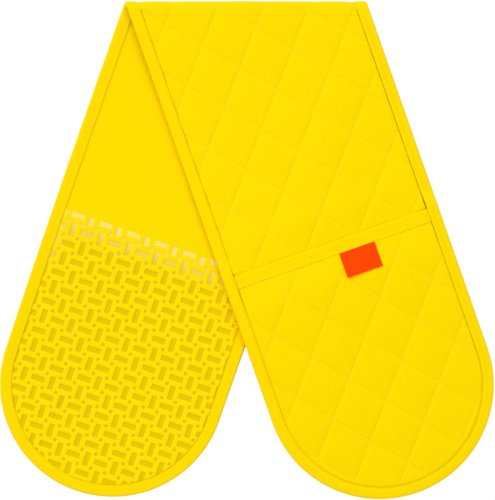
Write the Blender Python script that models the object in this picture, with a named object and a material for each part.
"""Double oven glove, folded once across its middle and laid flat.

One long quilted strip with two round ends. Each end has a hand pocket on the quilted face and a
moulded grip pad on the plain face. A tape is bound round the whole edge and along each pocket's
mouth. The lower leg lies on the table with its quilted face down, and the upper leg lies over it
with its quilted face up.

Each leg has its own coordinates: u across it, v along it from the fold's outer edge to the round
end, and a level, which counts from the plain face towards the quilted face. A line across or along
a leg is a point and a direction in u and v.
"""
import math

import bmesh
import bpy
from mathutils import Matrix, Vector

MM = 0.001

# Strip
STRIP_WIDTH = 190 * MM
LEG_LENGTH = 433 * MM
LEG_SPREAD = math.radians(19.3)
MOUTH = 213 * MM

# Cloth and wadding
CLOTH = 0.8 * MM
WADDING = 1.2 * MM
STRIP_PUFF = 1.8 * MM
LINING = 0.6 * MM
POCKET_WADDING = 0.8 * MM
POCKET_PUFF = 1.6 * MM
SEAM_ALLOWANCE = 2.4 * MM
SEAM_GAP = 0.3 * MM

# Quilting: two families of stitch lines, each at the lean to the leg's length
QUILT_PITCH = 35.5 * MM
QUILT_LEAN = math.radians(40.5)
QUILT_START = 20.7 * MM
PUFF_EDGE = 12 * MM

# Tape round the edge and along the pocket mouths
TAPE = 0.8 * MM
TAPE_GAP = 0.4 * MM
BINDING_WIDTH = 10 * MM
MOUTH_BAND = 11.4 * MM
BINDING_STEP = 15 * MM
STATION = 45 * MM

# Pockets
PANEL_GAP = 0.4 * MM
MOUTH_REST = 1.6 * MM
CROWN_RUN = 70 * MM
LOWER_HAND_GAP = 5.8 * MM
UPPER_HAND_GAP = 8.4 * MM

# Grip pads
GRIP = 1.4 * MM
GRIP_PROUD = 0.6 * MM

# Fold and lie of the legs
FOLD_RADIUS = 2.6 * MM
FOLD_GAP = 0.3 * MM
RISE_START = 64 * MM
LIE_GAP = 0.5 * MM
TOE_GAP = 0.1 * MM
DROP_CLEAR = 8 * MM

# Label
LABEL_WIDTH = 30.7 * MM
LABEL_LENGTH = 21.5 * MM
LABEL_LEFT = 4.3 * MM
LABEL_THICK = 0.5 * MM

ARC_STEPS = 24
FOLD_STEPS = 12
BAND_STEPS = 5
SHARP = math.radians(30)

# Sizes that follow
RADIUS = STRIP_WIDTH / 2
END_CENTRE = LEG_LENGTH - RADIUS
WADDING_LEVEL = CLOTH + SEAM_GAP
FRONT_LEVEL = WADDING_LEVEL + WADDING + SEAM_GAP
STRIP_THICK = FRONT_LEVEL + CLOTH
POCKET_WADDING_LEVEL = LINING + SEAM_GAP
POCKET_COVER_LEVEL = POCKET_WADDING_LEVEL + POCKET_WADDING + SEAM_GAP
PANEL_THICK = POCKET_COVER_LEVEL + CLOTH
SEAM_LEVEL = STRIP_THICK + SEAM_GAP
EDGE_INSET = TAPE + TAPE_GAP
PANEL_INSET = BINDING_WIDTH + PANEL_GAP
BAND_END = MOUTH + MOUTH_BAND + TAPE_GAP
LOWER_PLAIN = STRIP_THICK + STRIP_PUFF
LOWER_END_PLAIN = PANEL_THICK + POCKET_PUFF + LOWER_HAND_GAP + STRIP_THICK
FOLD_HEIGHT = LOWER_PLAIN + FOLD_RADIUS
UPPER_PLAIN = FOLD_HEIGHT + FOLD_RADIUS
UPPER_END_PLAIN = LOWER_END_PLAIN + 2 * EDGE_INSET + LIE_GAP
TOE_PLAIN = EDGE_INSET + TOE_GAP
FOLD_DEPTH = FOLD_RADIUS + STRIP_THICK + EDGE_INSET
FOLD_SHIFT = 2 * FOLD_DEPTH * math.tan(LEG_SPREAD)
FOLD_EDGE_Y = (END_CENTRE * math.cos(LEG_SPREAD) + RADIUS) / 2
FOLD_Y = FOLD_EDGE_Y - FOLD_DEPTH

YELLOW = (0.97, 0.71, 0.003)
PLAIN_YELLOW = (0.98, 0.72, 0.002)
GRIP_YELLOW = (0.86, 0.66, 0.006)
TAPE_YELLOW = (0.97, 0.70, 0.003)
WADDING_WHITE = (0.86, 0.85, 0.80)
LABEL_RED = (0.98, 0.07, 0.002)


def clamp(value):
    """Value kept between 0 and 1."""
    return min(max(value, 0.0), 1.0)


def inside(u, v):
    """How far a point lies inside a leg's outline, from its sides and its round end."""
    return RADIUS - (abs(u) if v < END_CENTRE else math.hypot(u, v - END_CENTRE))


def v_on(line, u):
    """v of the point of a line at u."""
    (point_u, point_v), (run_u, run_v) = line
    return point_v + (u - point_u) * run_v / run_u


def u_on(line, v):
    """u of the point of a line at v."""
    (point_u, point_v), (run_u, run_v) = line
    return point_u + (v - point_v) * run_u / run_v


def across(v):
    """The line straight across a leg at v."""
    return (0, v), (1, 0)


class Leg:
    """One half of the strip: its place in plan, and the height of its plain face."""

    def __init__(self, name, side, hand_gap, heights, drop):
        self.name = name
        self.side = side
        self.hand_gap = hand_gap
        self.plain_start, self.plain_end = heights
        self.drop = drop
        start = (FOLD_DEPTH + FOLD_GAP) / math.cos(LEG_SPREAD)
        self.fold = ((0, start), (math.cos(LEG_SPREAD), side * math.sin(LEG_SPREAD)))

    def plan(self, u, v):
        """World x and y of a point of the leg."""
        x = self.side * v * math.sin(LEG_SPREAD) + u * math.cos(LEG_SPREAD)
        y = FOLD_EDGE_Y + self.side * u * math.sin(LEG_SPREAD) - v * math.cos(LEG_SPREAD)
        return x, y

    def plain(self, u, v):
        """Height of the plain face above the table, in flat stretches that meet at the creases."""
        rise = clamp((v - RISE_START) / (MOUTH - RISE_START))
        height = self.plain_start + (self.plain_end - self.plain_start) * rise
        if self.drop:
            turn = 2 * LEG_SPREAD
            past = v * math.sin(turn) + u * math.cos(turn) - RADIUS - DROP_CLEAR
            reach = END_CENTRE * math.sin(turn) - DROP_CLEAR
            height -= max(past, 0.0) * (UPPER_END_PLAIN - TOE_PLAIN) / reach
        return height

    def creases(self):
        """Lines where the plain face changes its slope."""
        lines = [across(RISE_START), across(MOUTH)]
        return lines + [self.drop] if self.drop else lines

    def place(self, u, v, level):
        """World point at a level of the leg."""
        x, y = self.plan(u, v)
        return Vector((x, y, self.plain(u, v) + self.side * level))

    def panel_level(self, u, v):
        """Level of the pocket lining's face, which looks at the strip and arches over the hand."""
        arch = math.sin(math.pi / 2 * clamp((inside(u, v) - PANEL_INSET) / CROWN_RUN))
        return STRIP_THICK + MOUTH_REST + (self.hand_gap - MOUTH_REST) * arch

    def strip_puff(self, u, v):
        """Fullness of the strip, which is pressed flat under the pocket."""
        seams = (inside(u, v) - PANEL_INSET, v - v_on(self.fold, u), MOUTH - v)
        return puff(u, v, min(seams)) * STRIP_PUFF

    def pocket_puff(self, u, v):
        """Fullness of the pocket panel."""
        return puff(u, v, min(inside(u, v) - PANEL_INSET, v - BAND_END)) * POCKET_PUFF

    def mouth_lines(self):
        """The lines along which the mouth binding and the panel under it are cut, left to right."""
        half = RADIUS - PANEL_INSET
        lines = [((half * step / BAND_STEPS, MOUTH), (0, 1)) for step in range(-BAND_STEPS, BAND_STEPS + 1)]
        if self.drop:
            ends = [u_on(self.drop, MOUTH), u_on(self.drop, BAND_END)]
            low, high = min(ends) - EDGE_INSET, max(ends) + EDGE_INSET
            lines = [line for line in lines if not low < line[0][0] < high]
            lines.append(((u_on(self.drop, MOUTH), MOUTH), self.drop[1]))
        return sorted(lines)


def puff(u, v, near_seam):
    """Quilted fullness, from 0 on a stitch line or seam to 1 in the middle of a diamond."""
    sideways = u * math.cos(QUILT_LEAN)
    down = (v - QUILT_START) * math.sin(QUILT_LEAN)
    waves = math.sin(math.pi * (sideways - down) / QUILT_PITCH) * math.sin(math.pi * (sideways + down) / QUILT_PITCH)
    return min(math.sqrt(abs(waves)), clamp(near_seam / PUFF_EDGE))


def drop_crease():
    """The line where the upper leg leaves the lower one and starts to drop to the table."""
    turn = 2 * LEG_SPREAD
    over = RADIUS + DROP_CLEAR
    return (over * math.cos(turn), over * math.sin(turn)), (-math.sin(turn), math.cos(turn))


def quilt_lines():
    """The stitch lines that can meet a leg."""
    lines = []
    count = int((LEG_LENGTH + STRIP_WIDTH) / QUILT_PITCH) + 1
    for lean in (QUILT_LEAN, -QUILT_LEAN):
        for step in range(-count, count + 1):
            v = QUILT_START + step * QUILT_PITCH / math.sin(QUILT_LEAN)
            lines.append(((0, v), (math.sin(lean), math.cos(lean))))
    return lines


def outline(inset, start):
    """Points of a leg's outline in u and v: straight from start, then round the end."""
    half = RADIUS - inset
    points = [(-half, start), (half, start)]
    for step in range(ARC_STEPS + 1):
        angle = math.pi * step / ARC_STEPS
        points.append((half * math.cos(angle), END_CENTRE + half * math.sin(angle)))
    return points


def faces_where(bm, test):
    """The faces whose middle passes the test."""
    return [face for face in bm.faces if test(*face.calc_center_median()[:2])]


def cut(bm, line, test=None, clear=False):
    """Cuts the faces that pass the test along a line, and clears what lies on its left if asked."""
    geometry = {}
    for face in faces_where(bm, test) if test else bm.faces:
        geometry.update(dict.fromkeys([face, *face.edges, *face.verts]))
    (u, v), (run_u, run_v) = line
    bmesh.ops.bisect_plane(
        bm,
        geom=list(geometry),
        dist=SEAM_GAP / 100,
        plane_co=(u, v, 0),
        plane_no=(-run_v, run_u, 0),
        clear_outer=clear,
    )


def flat_sheet(leg, inset, start=None, seam=0.0):
    """A flat sheet in u and v with the leg's outline and creases, from the fold or from a start."""
    bm = bmesh.new()
    first = -LEG_LENGTH if start is None else start
    face = bm.faces.new([bm.verts.new((u, v, 0)) for u, v in outline(inset, first)])
    if seam:
        bm.normal_update()
        bmesh.ops.inset_region(bm, faces=[face], thickness=seam, use_even_offset=True, use_boundary=True)
    if start is None:
        (u, v), (run_u, run_v) = leg.fold
        cut(bm, ((u, v), (-run_u, -run_v)), clear=True)
    for line in leg.creases():
        cut(bm, line)
    return bm


def quilt(bm, test, fine):
    """Marks the stitch lines in the faces that pass the test, and lets each diamond rise."""
    for line in quilt_lines():
        cut(bm, line, test)
    made = bmesh.ops.poke(bm, faces=faces_where(bm, test))
    if fine:
        spokes = [edge for vert in made["verts"] for edge in vert.link_edges]
        bmesh.ops.subdivide_edges(bm, edges=spokes, cuts=1)


def thicken(bm, place, low, high):
    """Turns a flat sheet into a closed solid between two levels, each a function of u and v."""
    made = bmesh.ops.extrude_face_region(bm, geom=bm.faces[:])["geom"]
    upper = {vert for vert in made if isinstance(vert, bmesh.types.BMVert)}
    for vert in bm.verts:
        u, v = vert.co.x, vert.co.y
        vert.co = place(u, v, high(u, v) if vert in upper else low(u, v))


def sweep(sections):
    """A closed solid through a row of sections, each a list of as many points."""
    bm = bmesh.new()
    rows = [[bm.verts.new(point) for point in section] for section in sections]
    for near, far in zip(rows, rows[1:]):
        for i in range(len(near)):
            j = (i + 1) % len(near)
            bm.faces.new((near[i], near[j], far[j], far[i]))
    bm.faces.new(rows[0])
    bm.faces.new(rows[-1])
    return bm


def tape_section(thick, width):
    """A folded tape round an edge of a given thickness, as (distance from the edge, level) points."""
    low, high = -EDGE_INSET, thick + EDGE_INSET
    return [
        (width, -TAPE_GAP),
        (width, low),
        (TAPE, low),
        (0, low + TAPE),
        (0, high - TAPE),
        (TAPE, high),
        (width, high),
        (width, thick + TAPE_GAP),
        (TAPE, thick + TAPE_GAP),
        (TAPE, -TAPE_GAP),
    ]


def side_station(side, line):
    """Where a line crosses a leg's side, as a function from the distance inside the edge."""
    return lambda e: (side * (RADIUS - e), v_on(line, side * (RADIUS - e)))


def end_station(angle):
    """A place on the round end, as a function from the distance inside the edge."""
    return lambda e: ((RADIUS - e) * math.cos(angle), END_CENTRE + (RADIUS - e) * math.sin(angle))


def mouth_station(line):
    """Where a line crosses the mouth binding, as a function from the distance behind the mouth."""
    return lambda e: (u_on(line, MOUTH + e), MOUTH + e)


def edge_stations(leg, start):
    """Places round the leg's edge, from one end of the start line round to its other end."""
    marks = [across(step * STATION) for step in range(1, int(END_CENTRE / STATION) + 1)]
    marks.append(across(MOUTH - BINDING_STEP))
    sides = {}
    for side in (-1, 1):
        fixed = [start, *leg.creases(), across(END_CENTRE)]
        lines = list(fixed)
        for mark in marks:
            v = mark[0][1]
            ends = [(v_on(line, side * RADIUS), v_on(line, side * (RADIUS - BINDING_WIDTH))) for line in fixed]
            if all(v < min(pair) - BINDING_WIDTH or v > max(pair) + BINDING_WIDTH for pair in ends):
                lines.append(mark)
        first = v_on(start, side * RADIUS)
        lines = [line for line in lines if first <= v_on(line, side * RADIUS) <= END_CENTRE]
        lines.sort(key=lambda line: v_on(line, side * RADIUS))
        sides[side] = [side_station(side, line) for line in lines]
    ends = [end_station(math.pi - math.pi * step / ARC_STEPS) for step in range(1, ARC_STEPS)]
    return sides[-1] + ends + sides[1][::-1]


class Glove:
    """Makes the glove's pieces and hangs each on the body that carries it."""

    def __init__(self):
        self.collection = bpy.data.collections.new("oven_glove")
        bpy.context.scene.collection.children.link(self.collection)
        self.pivots = {}
        self.cloth = material("quilted_cloth", YELLOW, 0.75)
        self.plain_cloth = material("plain_cloth", PLAIN_YELLOW, 0.8)
        self.tape = material("binding_tape", TAPE_YELLOW, 0.7)
        self.filling = material("wadding", WADDING_WHITE, 0.95)
        self.grip = material("grip_silicone", GRIP_YELLOW, 0.35)
        self.label = material("label_cloth", LABEL_RED, 0.6)

    def pivot(self, name, place, parent=None):
        """An empty on a joint's axis, which carries the pieces that turn there."""
        empty = bpy.data.objects.new(name, None)
        self.collection.objects.link(empty)
        empty.location = place - self.world(parent)
        empty.parent = self.pivots.get(parent)
        self.pivots[name] = empty

    def world(self, name):
        """World place of a pivot, or the world's origin."""
        place = Vector()
        empty = self.pivots.get(name)
        while empty:
            place += empty.location
            empty = empty.parent
        return place

    def add(self, name, bm, finish, pivot=None):
        """Makes an object of a closed solid, with its origin on its pivot."""
        bmesh.ops.recalc_face_normals(bm, faces=bm.faces[:])
        bm.transform(Matrix.Translation(-self.world(pivot)))
        mesh = bpy.data.meshes.new(name)
        bm.to_mesh(mesh)
        bm.free()
        mesh.shade_smooth()
        mesh.set_sharp_from_angle(angle=SHARP)
        mesh.materials.append(finish)
        made = bpy.data.objects.new(name, mesh)
        self.collection.objects.link(made)
        made.parent = self.pivots.get(pivot)

    def build_strip(self, leg, pivot):
        """The three layers of one half of the strip, and its grip pad."""
        layers = (
            ("wadding", self.filling, WADDING_LEVEL, 0.0, WADDING, False),
            ("front_cover", self.cloth, FRONT_LEVEL, STRIP_PUFF, CLOTH, True),
        )
        for name, finish, base, low_puff, thick, fine in layers:
            sheet = flat_sheet(leg, EDGE_INSET, seam=PANEL_INSET - EDGE_INSET)
            quilt(sheet, lambda u, v: inside(u, v) > PANEL_INSET and v < MOUTH, fine)
            thicken(
                sheet,
                leg.place,
                lambda u, v, b=base, p=low_puff: b + leg.strip_puff(u, v) * p / STRIP_PUFF,
                lambda u, v, b=base, t=thick: b + t + leg.strip_puff(u, v),
            )
            self.add(f"{leg.name}_{name}", sheet, finish, pivot)
        back = flat_sheet(leg, EDGE_INSET, seam=PANEL_INSET - EDGE_INSET)
        under_pad = faces_where(back, lambda u, v: v > MOUTH and inside(u, v) > PANEL_INSET)
        bmesh.ops.delete(back, geom=under_pad, context="FACES")
        thicken(back, leg.place, lambda u, v: 0.0, lambda u, v: CLOTH)
        self.add(f"{leg.name}_back_cover", back, self.plain_cloth, pivot)
        pad = flat_sheet(leg, PANEL_INSET + SEAM_GAP, start=MOUTH + SEAM_GAP)
        thicken(pad, leg.place, lambda u, v: -GRIP_PROUD, lambda u, v: GRIP - GRIP_PROUD)
        self.add(f"{leg.name}_grip_pad", pad, self.grip, pivot)

    def build_edge(self, leg, pivot):
        """The binding round one half of the strip, and the pocket's allowance sewn into it."""
        sections = []
        for station in edge_stations(leg, leg.fold):
            step = clamp((station(0)[1] - MOUTH + BINDING_STEP) / BINDING_STEP)
            thick = STRIP_THICK + (SEAM_GAP + SEAM_ALLOWANCE) * step
            sections.append([leg.place(*station(e), level) for e, level in tape_section(thick, BINDING_WIDTH)])
        self.add(f"{leg.name}_edge_binding", sweep(sections), self.tape, pivot)
        near, far = EDGE_INSET, BINDING_WIDTH - PANEL_GAP
        low, high = SEAM_LEVEL, SEAM_LEVEL + SEAM_ALLOWANCE
        corners = [(near, low), (near, high), (far, high), (far, low)]
        sections = []
        for station in edge_stations(leg, across(MOUTH + SEAM_GAP)):
            sections.append([leg.place(*station(e), level) for e, level in corners])
        self.add(f"{leg.name}_pocket_seam", sweep(sections), self.cloth, pivot)

    def build_pocket(self, leg, pivot):
        """The pocket panel's three layers and the binding of its mouth."""
        layers = (
            ("pocket_lining", self.plain_cloth, 0.0, 0.0, LINING, 0.0),
            ("pocket_wadding", self.filling, POCKET_WADDING_LEVEL, 0.0, POCKET_WADDING, 1.0),
            ("pocket_cover", self.cloth, POCKET_COVER_LEVEL, 1.0, CLOTH, 1.0),
        )
        for name, finish, base, low_puff, thick, high_puff in layers:
            panel = flat_sheet(leg, PANEL_INSET, start=MOUTH + EDGE_INSET)
            cut(panel, across(BAND_END))
            for line in leg.mouth_lines():
                cut(panel, line, lambda u, v: v < BAND_END)
            quilt(panel, lambda u, v: v > BAND_END, low_puff > 0)
            thicken(
                panel,
                leg.place,
                lambda u, v, b=base, p=low_puff: leg.panel_level(u, v) + b + p * leg.pocket_puff(u, v),
                lambda u, v, b=base + thick, p=high_puff: leg.panel_level(u, v) + b + p * leg.pocket_puff(u, v),
            )
            self.add(f"{leg.name}_{name}", panel, finish, pivot)
        sections = []
        for station in [mouth_station(line) for line in leg.mouth_lines()]:
            section = []
            for e, level in tape_section(PANEL_THICK, MOUTH_BAND):
                u, v = station(e)
                section.append(leg.place(u, v, leg.panel_level(u, v) + level))
            sections.append(section)
        self.add(f"{leg.name}_mouth_binding", sweep(sections), self.tape, pivot)

    def build_fold(self, pivot):
        """The stretch of every layer that turns round the fold."""
        half = (RADIUS - EDGE_INSET) / math.cos(LEG_SPREAD)
        layers = (
            ("fold_back_cover", self.plain_cloth, 0.0, CLOTH),
            ("fold_wadding", self.filling, WADDING_LEVEL, WADDING),
            ("fold_front_cover", self.cloth, FRONT_LEVEL, CLOTH),
        )
        for name, finish, base, thick in layers:
            low, high = FOLD_RADIUS + base, FOLD_RADIUS + base + thick
            self.add(name, turned([(-half, low), (-half, high), (half, high), (half, low)]), finish, pivot)
        for name, side in (("fold_binding_left", -1), ("fold_binding_right", 1)):
            section = tape_section(STRIP_THICK, BINDING_WIDTH)
            corners = [(side * (RADIUS - e) / math.cos(LEG_SPREAD), FOLD_RADIUS + level) for e, level in section]
            self.add(name, turned(corners), self.tape, pivot)

    def build_label(self, leg, pivot):
        """The small label whose top edge meets the upper pocket's mouth binding."""
        bm = bmesh.new()
        bmesh.ops.create_grid(bm, x_segments=1, y_segments=1, size=LABEL_WIDTH / 2)
        for vert in bm.verts:
            vert.co.x += LABEL_LEFT + LABEL_WIDTH / 2
            vert.co.y = BAND_END + (vert.co.y / LABEL_WIDTH + 0.5) * LABEL_LENGTH
        level = label_level(leg)
        thicken(bm, leg.place, lambda u, v: level, lambda u, v: level + LABEL_THICK)
        self.add("label", bm, self.label, pivot)

    def build(self):
        """Makes every piece of the glove. The lower pocket lies on the table and carries the rest."""
        lower = Leg("lower", -1, LOWER_HAND_GAP, (LOWER_PLAIN, LOWER_END_PLAIN), None)
        upper = Leg("upper", 1, UPPER_HAND_GAP, (UPPER_PLAIN, UPPER_END_PLAIN), drop_crease())
        toe = LEG_LENGTH - PANEL_INSET
        edge = (LABEL_LEFT + LABEL_WIDTH / 2, BAND_END)
        self.pivot("lower_pocket_axis", lower.place(0, toe, lower.panel_level(0, toe) + PANEL_THICK))
        self.pivot("fold_axis", Vector((0, FOLD_Y, FOLD_HEIGHT)), "lower_pocket_axis")
        self.pivot("upper_pocket_axis", upper.place(0, toe, upper.panel_level(0, toe) + PANEL_THICK), "fold_axis")
        self.pivot("label_axis", upper.place(*edge, label_level(upper) + LABEL_THICK), "upper_pocket_axis")
        self.build_pocket(lower, None)
        self.build_strip(lower, "lower_pocket_axis")
        self.build_edge(lower, "lower_pocket_axis")
        self.build_fold("lower_pocket_axis")
        self.build_strip(upper, "fold_axis")
        self.build_edge(upper, "fold_axis")
        self.build_pocket(upper, "upper_pocket_axis")
        self.build_label(upper, "label_axis")


def label_level(leg):
    """Level of the label's underside, just clear of the quilting."""
    return leg.panel_level(LABEL_LEFT + LABEL_WIDTH / 2, BAND_END) + PANEL_THICK + POCKET_PUFF + SEAM_GAP


def turned(corners):
    """Turns a section, given as (x, radius) corners, half round the fold, slanting as the legs do."""
    bm = bmesh.new()
    start = -FOLD_SHIFT / 2
    face = bm.faces.new([bm.verts.new((start + x, FOLD_Y, FOLD_HEIGHT - radius)) for x, radius in corners])
    bmesh.ops.spin(
        bm,
        geom=[face],
        cent=(0, FOLD_Y, FOLD_HEIGHT),
        axis=(1, 0, 0),
        dvec=(FOLD_SHIFT / FOLD_STEPS, 0, 0),
        angle=math.pi,
        steps=FOLD_STEPS,
    )
    return bm


def material(name, colour, roughness):
    """A plain Principled material."""
    made = bpy.data.materials.new(name)
    made.use_nodes = True
    shader = made.node_tree.nodes["Principled BSDF"]
    shader.inputs["Base Color"].default_value = (*colour, 1)
    shader.inputs["Roughness"].default_value = roughness
    shader.inputs["Metallic"].default_value = 0
    return made


def clear_scene():
    """Removes whatever objects the file holds."""
    for old in list(bpy.data.objects):
        bpy.data.objects.remove(old, do_unlink=True)


clear_scene()
Glove().build()
